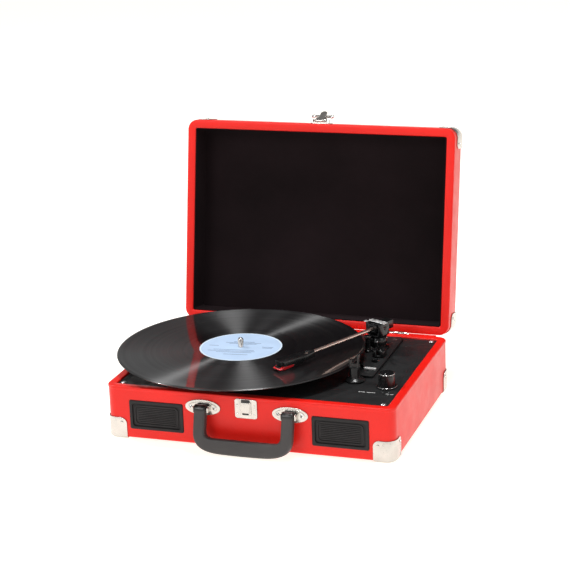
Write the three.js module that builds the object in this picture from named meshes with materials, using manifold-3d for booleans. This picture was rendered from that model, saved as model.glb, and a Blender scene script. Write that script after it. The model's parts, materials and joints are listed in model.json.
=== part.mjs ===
// Suitcase record player, opened. Millimetres, +Z up, origin at the centre of the case's underside,
// +X to the player's right, +Y to its back, where the lid is hinged.
import * as THREE from 'three';
import { mergeVertices } from 'three/addons/utils/BufferGeometryUtils.js';
import Module from 'manifold-3d';

const wasm = await Module();
wasm.setup();

// Case
const CASE_W = 350;
const CASE_D = 256;
const BASE_H = 64;
const LID_H = 39;
const WALL = 10;
const BOTTOM = 5;
const LID_TOP = 2.2;
const CORNER_R = 12;
const INNER_R = 3;
const GAP = 0.3;
const FRONT = -CASE_D / 2;
const BACK = CASE_D / 2;
const IN_W = CASE_W - 2 * WALL;
const IN_D = CASE_D - 2 * WALL;

// Lid hinge
const HINGE = { y: BACK + 1.4, z: BASE_H };
const LID_OPEN = 100;

// Deck
const DECK_TOP = BASE_H - 2;
const DECK_T = 3;
const SCREW = { x: 158.5, y: 111.5 };

// Turntable
const SPINDLE = { x: -47.5, y: -10, r: 3.55, top: 93 };
const MAT_TOP = 79.2;
const PLATTER_R = 98;
const BELT_R = 68;
const MOTOR = { x: -100, y: 58 };

// Tonearm
const PIVOT = { x: 102, y: 68 };
const ARM_Z = 91.5;
const ARM_YAW = 25.5;
const STYLUS_REACH = 166;

// Deck controls
const REST = { x: 105.5, y: -44 };
const KNOB = { x: 146.5, y: -54 };
const PLATE = { x0: 84, x1: 123.5, y0: -31, y1: 112, top: 65.3 };
const LIFT = { x: 94.5, y: 50.5 };
const CUE = { x: 114.5, y: 38 };

// Front
const GRILLE = { x: 112, z: 30, w: 67, h: 35.5 };
const HANDLE = { x: 53, z: 47, y: FRONT - 7.6, leg: 14, thick: 11, drop: 50, bar: 18, tilt: 15 };

const rad = THREE.MathUtils.degToRad;

function material(color, roughness, metalness = 0) {
  return new THREE.MeshStandardMaterial({ color, roughness, metalness });
}

const leatherette = () => material(0xe0262b, 0.45);
const blackPlastic = () => material(0x1b1b1c, 0.5);
const deckPlastic = () => material(0x242526, 0.7);
const gripPlastic = () => material(0x474445, 0.6);
const rubber = () => material(0x141414, 0.85);
const nickel = () => material(0xd8d2cc, 0.22, 1);
const steel = () => material(0xb9b9bb, 0.35, 1);
const brass = () => material(0xb8904a, 0.4, 1);

// Solids

function solid(geometry) {
  let g = geometry.index ? geometry.toNonIndexed() : geometry.clone();
  g.deleteAttribute('normal');
  g.deleteAttribute('uv');
  g = mergeVertices(g, 1e-4);
  const index = g.index.array;
  const tri = [];
  for (let i = 0; i < index.length; i += 3) {
    const [a, b, c] = [index[i], index[i + 1], index[i + 2]];
    if (a !== b && b !== c && c !== a) tri.push(a, b, c);
  }
  return new wasm.Manifold(new wasm.Mesh({
    numProp: 3,
    vertProperties: new Float32Array(g.attributes.position.array),
    triVerts: new Uint32Array(tri),
  }));
}

function place(geometry, x = 0, y = 0, z = 0) {
  return geometry.translate(x, y, z);
}

function box(x0, x1, y0, y1, z0, z1) {
  const g = new THREE.BoxGeometry(x1 - x0, y1 - y0, z1 - z0);
  return solid(place(g, (x0 + x1) / 2, (y0 + y1) / 2, (z0 + z1) / 2));
}

function cylinderZ(x, y, z0, z1, r, sides = 16, rTop = r) {
  const g = new THREE.CylinderGeometry(rTop, r, z1 - z0, sides).rotateX(Math.PI / 2);
  return solid(place(g, x, y, (z0 + z1) / 2));
}

function cylinderX(x0, x1, y, z, r, sides = 12) {
  const g = new THREE.CylinderGeometry(r, r, x1 - x0, sides).rotateZ(Math.PI / 2);
  return solid(place(g, (x0 + x1) / 2, y, z));
}

function cylinderY(x, y0, y1, z, r, sides = 14) {
  const g = new THREE.CylinderGeometry(r, r, y1 - y0, sides);
  return solid(place(g, x, (y0 + y1) / 2, z));
}

// A body of revolution about +Z; profile points are [radius, height].
function turnZ(profile, sides, x = 0, y = 0, z = 0) {
  const points = profile.map(([r, h]) => new THREE.Vector2(r, h));
  return solid(place(new THREE.LatheGeometry(points, sides).rotateX(Math.PI / 2), x, y, z));
}

function roundedRect(w, h, r) {
  const s = new THREE.Shape();
  const x = w / 2 - r;
  const y = h / 2 - r;
  s.absarc(x, y, r, 0, Math.PI / 2);
  s.absarc(-x, y, r, Math.PI / 2, Math.PI);
  s.absarc(-x, -y, r, Math.PI, 1.5 * Math.PI);
  s.absarc(x, -y, r, 1.5 * Math.PI, 2 * Math.PI);
  return s;
}

// A rounded rectangle in the XY plane, standing from z0 to z1.
function slabZ(w, d, r, z0, z1, x = 0, y = 0, arc = 4) {
  const options = { depth: z1 - z0, bevelEnabled: false, curveSegments: arc };
  return solid(place(new THREE.ExtrudeGeometry(roundedRect(w, d, r), options), x, y, z0));
}

// A shape drawn in X and Y, running up from z0 to z1.
function slabZFrom(shape, z0, z1) {
  const options = { depth: z1 - z0, bevelEnabled: false, curveSegments: 3 };
  return solid(place(new THREE.ExtrudeGeometry(shape, options), 0, 0, z0));
}

// A shape drawn in X and Z, running along Y from y0 to y1.
function slabY(shape, y0, y1, x = 0, z = 0, arc = 3) {
  const options = { depth: y1 - y0, bevelEnabled: false, curveSegments: arc };
  const g = new THREE.ExtrudeGeometry(shape, options).rotateX(Math.PI / 2);
  return solid(place(g, x, y1, z));
}

// A shape drawn in Y and Z, running along X from x0 to x1.
function slabX(shape, x0, x1, y = 0, z = 0, arc = 3) {
  const options = { depth: x1 - x0, bevelEnabled: false, curveSegments: arc };
  const g = new THREE.ExtrudeGeometry(shape, options).rotateX(Math.PI / 2).rotateZ(Math.PI / 2);
  return solid(place(g, x0, y, z));
}

// The solid with its flat end turned down, as the lower or upper half of the case has it.
function caseBlock(grow, h) {
  const bevel = 2;
  const w = CASE_W + 2 * grow - 2 * bevel;
  const d = CASE_D + 2 * grow - 2 * bevel;
  const block = new THREE.ExtrudeGeometry(roundedRect(w, d, CORNER_R + grow - bevel), {
    depth: h + grow - 2 * bevel,
    bevelThickness: bevel,
    bevelSize: bevel,
    bevelSegments: 1,
    curveSegments: 4,
  });
  const low = solid(place(block, 0, 0, bevel - grow));
  return low.subtract(box(-200, 200, -150, 150, h - 4, h + 10))
    .add(slabZ(CASE_W + 2 * grow, CASE_D + 2 * grow, CORNER_R + grow, h - 4.5, h));
}

const object = new THREE.Group();
const lid = new THREE.Group();
lid.position.set(0, HINGE.y, HINGE.z);
lid.rotation.x = -rad(LID_OPEN);
object.add(lid);

function node(name, body, mat, group = object) {
  const m = body.getMesh();
  const g = new THREE.BufferGeometry();
  g.setAttribute('position', new THREE.BufferAttribute(m.vertProperties, 3));
  g.setIndex(new THREE.BufferAttribute(m.triVerts, 1));
  g.computeVertexNormals();
  const mesh = new THREE.Mesh(g, mat);
  mesh.name = name;
  group.add(mesh);
  return mesh;
}

// A part of the closed lid, drawn where it lies with the lid shut, goes into the turned lid group.
function lidNode(name, body, mat) {
  return node(name, body.translate([0, -HINGE.y, -HINGE.z]), mat, lid);
}

const SIDES = [['left', -1], ['right', 1]];
const CORNERS = [['front_left', -1, -1], ['front_right', 1, -1], ['back_left', -1, 1], ['back_right', 1, 1]];

const REAR = { x: -60, z: 28 };
const BOARD = { x: 60, y: 40, z: 12, w: 90, d: 60 };
const BOARD_POSTS = CORNERS.map(([, sx, sy]) => [BOARD.x + sx * 40, BOARD.y + sy * 25]);
const PANEL = { w: 240, d: 152 };

// Base shell: tray with corner posts, speaker windows, a connector window, board posts
// and, underneath, the seam round the bottom panel

function baseShell() {
  let s = caseBlock(0, BASE_H).subtract(slabZ(IN_W, IN_D, INNER_R, BOTTOM, BASE_H + 1));
  for (const [, sx, sy] of CORNERS) {
    const x = sx * (IN_W / 2 - 6.5);
    const y = sy * (IN_D / 2 - 6.5);
    const post = box(x - 6.8, x + 6.8, y - 6.8, y + 6.8, BOTTOM - 1, DECK_TOP - DECK_T - GAP);
    s = s.add(post).subtract(cylinderZ(sx * SCREW.x, sy * SCREW.y, 45, 70, 1.9, 8));
  }
  for (const [, sx] of SIDES) {
    const x = sx * GRILLE.x;
    s = s.subtract(slabY(roundedRect(GRILLE.w + 0.6, GRILLE.h + 0.6, 2.3), FRONT - 1, FRONT + 3.4, x, GRILLE.z));
    s = s.subtract(slabY(roundedRect(56, 27, 6), FRONT, FRONT + WALL + 1, x, GRILLE.z));
  }
  s = s.subtract(slabY(roundedRect(64.6, 26.6, 3), BACK - WALL - 1, BACK + 1, REAR.x, REAR.z));
  for (const [bx, by] of BOARD_POSTS) s = s.add(cylinderZ(bx, by, BOTTOM - 1, BOARD.z - GAP, 3, 8));
  const seam = slabZ(PANEL.w + 1.2, PANEL.d + 1.2, 6.6, -1, 0.6).subtract(slabZ(PANEL.w, PANEL.d, 6, -2, 1));
  return s.subtract(seam).subtract(knuckleNotches());
}

// Room in both rims for the round knuckles of the two hinges
function knuckleNotches() {
  return cylinderX(-105 - 18.6, -105 + 18.6, HINGE.y, HINGE.z, 2.6, 16)
    .add(cylinderX(105 - 18.6, 105 + 18.6, HINGE.y, HINGE.z, 2.6, 16));
}
node('base_shell', baseShell(), leatherette());

// Deck panel with its bores for the bush, the motor's shaft, the pivot and the knob's shaft

function deckPanel() {
  let s = slabZ(IN_W - 0.8, IN_D - 0.8, INNER_R - 0.4, DECK_TOP - DECK_T, DECK_TOP);
  for (const [, sx, sy] of CORNERS) s = s.subtract(cylinderZ(sx * SCREW.x, sy * SCREW.y, 50, 70, 1.9, 8));
  s = s.subtract(cylinderZ(SPINDLE.x, SPINDLE.y, 50, 70, 7, 24));
  s = s.subtract(cylinderZ(MOTOR.x, MOTOR.y, 50, 70, 9, 24));
  s = s.subtract(cylinderZ(PIVOT.x, PIVOT.y, 50, 70, 6, 20));
  s = s.subtract(cylinderZ(KNOB.x, KNOB.y, 50, 70, 5, 20));
  return s;
}
node('deck_panel', deckPanel(), deckPlastic());

CORNERS.forEach(([name, sx, sy]) => {
  const head = [[0, -14], [1.5, -14], [1.5, 0], [3.4, 0], [3.4, 0.6], [2.2, 1.4], [0, 1.6]];
  const screw = turnZ(head, 8, sx * SCREW.x, sy * SCREW.y, DECK_TOP)
    .subtract(box(sx * SCREW.x - 2.2, sx * SCREW.x + 2.2, sy * SCREW.y - 0.4, sy * SCREW.y + 0.4, 62.9, 66));
  node(`deck_screw_${name}`, screw, steel());
});

// Speakers behind louvred grilles

function grille(x) {
  const { w, h, z } = GRILLE;
  let s = slabY(roundedRect(w, h, 2), FRONT - 0.8, FRONT + 3, x, z);
  s = s.subtract(slabY(roundedRect(w - 15, h - 11, 1.5), FRONT - 2, FRONT + 0.4, x, z));
  for (let i = -3; i <= 3; i += 1) {
    s = s.subtract(box(x - 24, x + 24, FRONT - 2, FRONT + 5, z + i * 3 - 0.7, z + i * 3 + 0.7));
  }
  return s;
}

function speaker(x) {
  const back = [[0, -24], [14, -24], [14, -14], [17, -13], [24, -5], [24, -3], [26, -3], [26, 0], [23, 0],
    [21, -2], [8, -9], [5, -7.5], [0, -6.8]];
  const g = new THREE.LatheGeometry(back.map(([r, h]) => new THREE.Vector2(r, h)), 22);
  return solid(place(g.rotateX(Math.PI), x, FRONT + WALL + GAP, GRILLE.z + 1.5));
}

SIDES.forEach(([name, sx]) => {
  node(`speaker_grille_${name}`, grille(sx * GRILLE.x), blackPlastic());
  node(`speaker_${name}`, speaker(sx * GRILLE.x), blackPlastic());
});

// Corner protectors: thin caps that wrap three faces, each flange with a domed nail

function flange(reach, r) {
  const s = new THREE.Shape();
  s.moveTo(-3, -3);
  s.lineTo(reach, -3);
  s.lineTo(reach, reach - r);
  s.absarc(reach - r, reach - r, r, 0, Math.PI / 2);
  s.lineTo(-3, reach);
  return s;
}

function protector(sx, sy, h) {
  const reach = 25;
  const outline = flange(reach, 7);
  const cap = caseBlock(1.1, h).subtract(caseBlock(GAP, h));
  const byTop = slabZFrom(outline, -3, 37);
  const byFront = slabY(outline, -3, reach + 1);
  const bySide = slabX(outline, -3, reach + 1);
  let region = byTop.intersect(byFront).intersect(bySide);
  region = region.translate([-CASE_W / 2, -CASE_D / 2, 0]);
  let s = cap.intersect(region);
  const nail = 19;
  s = s.add(cylinderY(nail - CASE_W / 2, FRONT - 1.9, FRONT - 0.5, nail, 1.8, 6));
  s = s.add(cylinderX(-CASE_W / 2 - 1.9, -CASE_W / 2 - 0.5, FRONT + nail, nail, 1.8, 6));
  return s.scale([sx < 0 ? 1 : -1, sy < 0 ? 1 : -1, 1]);
}

CORNERS.forEach(([name, sx, sy]) => {
  node(`base_corner_${name}`, protector(sx, sy, BASE_H), nickel());
  node(`foot_${name}`, cylinderZ(sx * 135, sy * 92, -3, 0, 9, 16, 10), rubber());
});

// Handle on two oval plates

function ovalPlate(x) {
  const s = new THREE.Shape();
  s.moveTo(-21.5, 0);
  s.quadraticCurveTo(0, -18.6, 21.5, 0);
  s.quadraticCurveTo(0, 18.6, -21.5, 0);
  let p = slabY(s, FRONT - 1.5, FRONT - GAP, x, HANDLE.z, 10);
  for (const sx of [-1, 1]) {
    p = p.add(cylinderY(x + sx * 14.5, FRONT - 2.4, FRONT - 1, HANDLE.z, 2.2, 12));
    const ear = box(x + sx * 8.9 - 1, x + sx * 8.9 + 1, HANDLE.y - 3, FRONT - 1, HANDLE.z - 3.2, HANDLE.z + 3.2);
    p = p.add(ear);
  }
  return p.add(cylinderX(x - 9, x + 9, HANDLE.y, HANDLE.z, 1.7, 12));
}

// A bail drawn in X and Z about its pivot axis, tipped forward about that axis.
function handle() {
  const out = HANDLE.x + HANDLE.leg / 2;
  const inn = HANDLE.x - HANDLE.leg / 2;
  const low = -HANDLE.drop;
  const top = 5;
  const s = new THREE.Shape();
  s.moveTo(-out, top - 7);
  s.lineTo(-out, low + 22);
  s.bezierCurveTo(-out, low + 6, -out + 14, low + 1.5, -out + 30, low + 0.8);
  s.quadraticCurveTo(0, low - 0.8, out - 30, low + 0.8);
  s.bezierCurveTo(out - 14, low + 1.5, out, low + 6, out, low + 22);
  s.absarc(HANDLE.x, top - 7, HANDLE.leg / 2, 0, Math.PI);
  s.lineTo(inn, low + HANDLE.bar + 9);
  s.quadraticCurveTo(inn, low + HANDLE.bar, inn - 9, low + HANDLE.bar);
  s.lineTo(-inn + 9, low + HANDLE.bar);
  s.quadraticCurveTo(-inn, low + HANDLE.bar, -inn, low + HANDLE.bar + 9);
  s.absarc(-HANDLE.x, top - 7, HANDLE.leg / 2, 0, Math.PI);
  const bevel = 1.6;
  const g = new THREE.ExtrudeGeometry(s, {
    depth: HANDLE.thick - 2 * bevel,
    bevelThickness: bevel,
    bevelSize: bevel,
    bevelOffset: -bevel,
    bevelSegments: 1,
    curveSegments: 5,
  });
  g.rotateX(Math.PI / 2).translate(0, HANDLE.thick / 2 - bevel, 0);
  const below = box(-80, 80, -20, 20, -80, 0);
  let body = solid(g).intersect(below.add(cylinderX(-80, 80, 0, 0, HANDLE.thick / 2 + 0.05, 28)));
  for (const [, sx] of SIDES) body = body.subtract(cylinderX(sx * HANDLE.x - 9, sx * HANDLE.x + 9, 0, 0, 2, 12));
  return body.rotate([-HANDLE.tilt, 0, 0]).translate([0, HANDLE.y, HANDLE.z]);
}

SIDES.forEach(([name, sx]) => node(`handle_plate_${name}`, ovalPlate(sx * HANDLE.x), nickel()));
node('handle', handle(), gripPlastic());

// Draw latch: keeper plate on the base, hasp on the lid

function latchPlate() {
  let s = slabY(roundedRect(27, 23.5, 3), FRONT - 1.5, FRONT - GAP, 0, 49.7);
  s = s.add(slabY(roundedRect(13, 15, 1), FRONT - 3.4, FRONT - 1, 0, 50.5));
  s = s.subtract(box(-5, 5, FRONT - 2.4, FRONT, 55, 58.6));
  return s.subtract(box(-4, 4, FRONT - 2.4, FRONT, 42.6, 45.5));
}
node('latch_plate', latchPlate(), nickel());

const HASP = { y: FRONT - 4.4, z: BASE_H + 8.5, fold: 148 };

function haspBase() {
  let s = slabY(roundedRect(25, 17, 2.5), FRONT - 1.5, FRONT - GAP, 0, BASE_H + 14);
  for (const sx of [-1, 1]) {
    s = s.add(box(sx * 10.2 - 1.4, sx * 10.2 + 1.4, HASP.y - 1.9, FRONT - 1, HASP.z - 1.9, HASP.z + 1.9));
  }
  return s.add(cylinderX(-11, 11, HASP.y, HASP.z, 1, 10));
}

// The leaf hangs past the rim when latched and is drawn folded back over the lid's front.
function hasp() {
  let leaf = slabY(roundedRect(15, 21, 2), -0.6, 0.6, 0, -11.5);
  leaf = leaf.add(cylinderX(-8, 8, 0, 0, 1.9, 12)).subtract(cylinderX(-9, 9, 0, 0, 1.25, 12));
  leaf = leaf.add(box(-4, 4, -2.2, 0, -21.6, -19.8));
  return leaf.rotate([-HASP.fold, 0, 0]).translate([0, HASP.y, HASP.z]);
}
lidNode('hasp_base', haspBase(), nickel());
lidNode('lid_hasp', hasp(), nickel());

// Butt hinges at the back, pinned on the lid's axis; the pin is fixed in the base leaf

function leaf(x, sign) {
  const half = 18;
  const y0 = BACK + GAP;
  const zs = sign < 0 ? [BASE_H - 19, BASE_H - 2.8] : [BASE_H + 2.8, BASE_H + 19];
  let s = box(x - half, x + half, y0, y0 + 1.2, zs[0], zs[1]);
  const spans = sign < 0 ? [[-18, -6.3], [6.3, 18]] : [[-5.9, 5.9]];
  for (const [a, b] of spans) {
    const z = sign < 0 ? [BASE_H - 4, BASE_H] : [BASE_H, BASE_H + 4];
    s = s.add(box(x + a, x + b, y0, y0 + 1.2, z[0], z[1]));
    s = s.add(cylinderX(x + a, x + b, HINGE.y, HINGE.z, 2.1, 16));
  }
  for (const px of [-12, 12]) {
    s = s.add(cylinderY(x + px, y0 + 0.6, y0 + 2, BASE_H + sign * 12, 2.4, 10));
  }
  return s;
}

SIDES.forEach(([name, sx]) => {
  const x = sx * 105;
  const pin = cylinderX(x - 18, x + 18, HINGE.y, HINGE.z, 1.1, 12);
  node(`hinge_base_leaf_${name}`, leaf(x, -1).add(pin), nickel());
  const bore = cylinderX(x - 7, x + 7, HINGE.y, HINGE.z, 1.4, 12);
  lidNode(`hinge_lid_leaf_${name}`, leaf(x, 1).subtract(bore), nickel());
});

// Lid: shell, lining tray and corner protectors

function lidShell() {
  const block = caseBlock(0, LID_H).scale([1, 1, -1]).translate([0, 0, BASE_H + LID_H]);
  const rim = box(-CASE_W, CASE_W, -CASE_D, CASE_D, BASE_H - 1, BASE_H + 0.1);
  return block.subtract(slabZ(IN_W, IN_D, INNER_R, BASE_H - 1, BASE_H + LID_H - LID_TOP)).subtract(rim)
    .subtract(knuckleNotches());
}

function lidLining() {
  const t = 1;
  const top = BASE_H + LID_H - LID_TOP - GAP;
  const outer = slabZ(IN_W - 2 * GAP, IN_D - 2 * GAP, INNER_R - GAP, BASE_H + 0.8, top);
  return outer.subtract(slabZ(IN_W - 2 * GAP - 2 * t, IN_D - 2 * GAP - 2 * t, 1.8, BASE_H, top - t));
}
lidNode('lid_shell', lidShell(), leatherette());
lidNode('lid_lining', lidLining(), material(0x1c1414, 0.9));
CORNERS.forEach(([name, sx, sy]) => {
  const cap = protector(sx, sy, LID_H).scale([1, 1, -1]).translate([0, 0, BASE_H + LID_H]);
  lidNode(`lid_corner_${name}`, cap, nickel());
});

// Turntable: bush, spindle, platter, mat, and the motor that drives it by a belt

const AT = [SPINDLE.x, SPINDLE.y];
node('bearing_bush', turnZ([[4, 44], [6.4, 44], [6.4, 62.4], [9, 62.4], [9, 64], [4, 64], [4, 44]], 20, ...AT), brass());
node('spindle', turnZ([[0, 42], [SPINDLE.r, 42], [SPINDLE.r, SPINDLE.top - 2.5], [2.6, SPINDLE.top - 0.8],
  [1, SPINDLE.top], [0, SPINDLE.top]], 20, ...AT), steel());

function platter() {
  const bottom = MAT_TOP - 1.8;
  return turnZ([[SPINDLE.r + 0.25, 65], [9, 65], [9, bottom - 3], [BELT_R - 3, bottom - 3], [BELT_R - 3, 66],
    [BELT_R, 66], [BELT_R, bottom - 3], [PLATTER_R - 3, bottom - 3], [PLATTER_R - 3, 65.5], [PLATTER_R, 65.5],
    [PLATTER_R, bottom - 1], [PLATTER_R - 1, bottom], [SPINDLE.r + 0.25, bottom], [SPINDLE.r + 0.25, 65]],
  44, ...AT);
}
node('platter', platter(), material(0x2a2b2d, 0.45));
node('platter_mat', turnZ([[SPINDLE.r + 0.6, MAT_TOP - 1.5], [PLATTER_R - 2, MAT_TOP - 1.5], [PLATTER_R - 2, MAT_TOP],
  [SPINDLE.r + 0.6, MAT_TOP], [SPINDLE.r + 0.6, MAT_TOP - 1.5]], 44, ...AT), rubber());

const PULLEY_R = 4.5;
function motor() {
  const s = turnZ([[0, 33], [17, 33], [17.5, 34], [17.5, 55], [16.5, 56], [6, 56], [6, 58], [1.1, 58], [1.1, 72],
    [0, 72]], 20, MOTOR.x, MOTOR.y);
  const bracket = box(MOTOR.x - 24, MOTOR.x + 24, MOTOR.y - 6, MOTOR.y + 6, 56.5, 58.5);
  return s.add(bracket);
}
node('motor', motor(), steel());
node('motor_pulley', turnZ([[1.35, 64.5], [5.4, 64.5], [5.4, 65.5], [PULLEY_R, 66], [PULLEY_R, 71], [5.4, 71.5],
  [5.4, 72.5], [1.35, 72.5], [1.35, 64.5]], 20, MOTOR.x, MOTOR.y), brass());

// The belt runs round the platter's drive ring and the pulley, along their two outer tangents.
function beltLoop(grow) {
  const dx = MOTOR.x - SPINDLE.x;
  const dy = MOTOR.y - SPINDLE.y;
  const far = Math.hypot(dx, dy);
  const R = BELT_R + grow;
  const r = PULLEY_R + grow;
  const spread = Math.acos((R - r) / far);
  const s = new THREE.Shape();
  s.absarc(0, 0, R, spread, 2 * Math.PI - spread);
  s.absarc(far, 0, r, 2 * Math.PI - spread, 2 * Math.PI + spread);
  const g = new THREE.ExtrudeGeometry(s, { depth: 4, bevelEnabled: false, curveSegments: 22 });
  g.rotateZ(Math.atan2(dy, dx));
  return solid(place(g, SPINDLE.x, SPINDLE.y, 66.5));
}
node('drive_belt', beltLoop(1.1).subtract(beltLoop(0.4)), rubber());

// Tonearm mechanism on its raised plate

function mechanismPlate() {
  const { x0, x1, y0, y1, top } = PLATE;
  const s = new THREE.Shape();
  s.moveTo(x0 + 25, y0);
  s.lineTo(x1 - 2, y0);
  s.lineTo(x1, y0 + 2);
  s.lineTo(x1, y1 - 4);
  s.lineTo(x1 - 4, y1);
  s.lineTo(x0 + 4, y1);
  s.lineTo(x0, y1 - 4);
  s.lineTo(x0, y0 + 60);
  s.lineTo(x0 + 23, y0 + 24);
  s.lineTo(x0 + 23, y0 + 2);
  const g = new THREE.ExtrudeGeometry(s, { depth: top - DECK_TOP - GAP, bevelEnabled: false });
  let body = solid(place(g, 0, 0, DECK_TOP + GAP));
  body = body.subtract(cylinderZ(PIVOT.x, PIVOT.y, 55, 70, 6, 20));
  for (const { x, y, w, d } of SWITCHES) body = body.subtract(box(x - w / 2, x + w / 2, y - d / 2, y + d / 2, 55, 70));
  return body;
}

const SWITCHES = [
  { name: 'speed_switch', x: 115, y: -7, w: 6, d: 16, tab: [14, 4], from: -5 },
  { name: 'autostop_switch', x: 112.5, y: 20, w: 5, d: 11, tab: [8, 3.5], from: -3 },
];
node('mechanism_plate', mechanismPlate(), deckPlastic());

// Each switch tab slides along Y in its slot; it is drawn at the front end of its travel.
SWITCHES.forEach(({ name, x, y, w, tab, from }) => {
  const at = y + from;
  const stem = box(x - w / 2 + 0.5, x + w / 2 - 0.5, at - 1.6, at + 1.6, DECK_TOP + 0.5, 66.5);
  const top = box(x - tab[0] / 2, x + tab[0] / 2, at - tab[1] / 2, at + tab[1] / 2, 65.7, 68.2);
  node(name, stem.add(top), name === 'speed_switch' ? nickel() : blackPlastic());
});

const PIVOT_AT = [PIVOT.x, PIVOT.y];
node('swivel_base', turnZ([[3.2, 65.7], [14.5, 65.7], [14.5, 67.5], [10, 68.6], [11.6, 72.5], [11.6, 77],
  [10, 80.6], [3.2, 80.6], [3.2, 65.7]], 20, ...PIVOT_AT), blackPlastic());
node('lift_post', turnZ([[0, 65.6], [4.2, 65.6], [4.2, 67], [3.2, 67.6], [3.2, 82], [4, 83], [4, 86], [0, 86]], 16,
  LIFT.x, LIFT.y), blackPlastic());

// The fork turns about the upright pivot; its cheeks carry the arm's cross pin.
function fork() {
  let s = turnZ([[0, 52], [2.8, 52], [2.8, 81], [11.6, 81], [12.2, 82], [12.2, 84], [0, 84]], 20);
  for (const sx of [-1, 1]) {
    s = s.add(box(sx * 9.5 - 2.2, sx * 9.5 + 2.2, -8, 8, 83.5, 98));
    s = s.subtract(cylinderX(sx * 9.5 - 3, sx * 9.5 + 3, 0, ARM_Z, 1.45, 12));
  }
  return s.rotate([0, 0, -ARM_YAW]).translate([PIVOT.x, PIVOT.y, 0]);
}
node('arm_fork', fork(), blackPlastic());

// The arm is drawn along -Y from its pivot and turned to its place over the record.
function armPart(body) {
  return body.rotate([0, 0, -ARM_YAW]).translate([PIVOT.x, PIVOT.y, 0]);
}
const TUBE_END = -STYLUS_REACH + 48;
function armCarrier() {
  let s = box(-6.5, 6.5, -10, 22, ARM_Z - 4.5, ARM_Z + 5.5);
  s = s.add(cylinderX(-11.4, 11.4, 0, ARM_Z, 1.1, 12));
  s = s.subtract(cylinderY(0, -12, -2, ARM_Z, 2.6, 16));
  return s;
}
node('arm_carrier', armPart(armCarrier()), blackPlastic());
node('arm_tube', armPart(cylinderY(0, TUBE_END - 10, -2.3, ARM_Z, 2.2, 16)), material(0xd9c0b8, 0.3, 1));

// Headshell and cartridge are turned inward by the offset angle at the end of the tube.
function offsetPart(body) {
  return body.rotate([0, 0, -7]).translate([0, TUBE_END, 0]);
}
function headshell() {
  const s = new THREE.Shape();
  s.moveTo(-4, 2);
  s.lineTo(4, 2);
  s.lineTo(8, -14);
  s.lineTo(8, -44);
  s.quadraticCurveTo(8, -50, 2, -50);
  s.lineTo(-2, -50);
  s.quadraticCurveTo(-8, -50, -8, -44);
  s.lineTo(-8, -14);
  const g = new THREE.ExtrudeGeometry(s, { depth: 6, bevelEnabled: false, curveSegments: 4 });
  let body = solid(place(g, 0, 0, ARM_Z - 4.5)).add(cylinderY(0, -7, 2.5, ARM_Z, 3.6, 16));
  body = body.subtract(box(-6.8, 6.8, -48.5, -17, ARM_Z - 6, ARM_Z + 0.2));
  return offsetPart(body).subtract(cylinderY(0, TUBE_END - 10.4, TUBE_END + 10, ARM_Z, 2.6, 16));
}
function cartridge() {
  let s = box(-6.2, 6.2, -46, -18, ARM_Z - 7.5, ARM_Z - 0.1);
  s = s.add(box(-4, 4, -51.8, -40, ARM_Z - 8.5, ARM_Z - 5));
  s = s.add(solid(place(new THREE.CylinderGeometry(0.9, 0.3, 2.2, 8).rotateX(Math.PI / 2), 0, -48, ARM_Z - 9.3)));
  return offsetPart(s);
}
node('headshell', armPart(headshell()), blackPlastic());
node('cartridge', armPart(cartridge()), material(0xc22a24, 0.35));

// Arm rest: flanged post with a low inner prong that the tube passes and a high outer one that stops it
function armRest() {
  let s = turnZ([[0, 62.3], [11.5, 62.3], [11.5, 64], [9, 66], [6.2, 67], [6, 80], [0, 80]], 20, REST.x, REST.y);
  s = s.add(box(REST.x - 6, REST.x + 6, REST.y - 2.5, REST.y + 2.5, 79, 84));
  s = s.add(box(REST.x - 6, REST.x - 3.3, REST.y - 2.5, REST.y + 2.5, 83, ARM_Z - 2.9));
  return s.add(box(REST.x + 3.4, REST.x + 6, REST.y - 2.5, REST.y + 2.5, 83, ARM_Z + 4));
}
node('arm_rest', armRest(), blackPlastic());

// Cue lever on its own small housing
function cueHousing() {
  let s = slabZ(15, 15, 3, PLATE.top + GAP, 74, CUE.x - 2, CUE.y);
  s = s.subtract(box(CUE.x - 4.5, CUE.x + 0.5, CUE.y - 8, CUE.y + 8, 68, 75));
  return s.subtract(cylinderX(CUE.x - 9, CUE.x + 5, CUE.y, 71.2, 1.25, 12));
}
function cueLever() {
  let s = cylinderX(CUE.x - 8.6, CUE.x + 4.6, CUE.y, 71.2, 0.95, 12);
  s = s.add(cylinderX(CUE.x - 4.1, CUE.x + 0.1, CUE.y, 71.2, 2.4, 14));
  const stick = cylinderZ(0, 0, 0, 18, 1.1, 12).add(cylinderZ(0, 0, 16, 21, 1.9, 14, 1.4));
  return s.add(stick.rotate([38, 0, 0]).translate([CUE.x - 2, CUE.y, 71.2]));
}
node('cue_housing', cueHousing(), blackPlastic());
node('cue_lever', cueLever(), blackPlastic());

// Volume knob and the potentiometer under the deck
const KNOB_AT = [KNOB.x, KNOB.y];
node('volume_pot', turnZ([[0, 46], [8, 46], [8, 58.5], [3.6, 58.5], [3.6, 61.5], [0, 61.5]], 20, ...KNOB_AT), steel());
function volumeKnob() {
  const s = turnZ([[0, 62.6], [11.8, 62.6], [12, 63.2], [11.6, 64.4], [9.6, 64.8], [9.3, 78.9], [8.8, 79.5], [0, 79.5]],
    24, ...KNOB_AT);
  return s.subtract(box(KNOB.x - 0.5, KNOB.x + 0.5, KNOB.y - 10, KNOB.y - 4, 78.7, 80.5));
}
node('volume_knob', volumeKnob(), blackPlastic());

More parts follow.
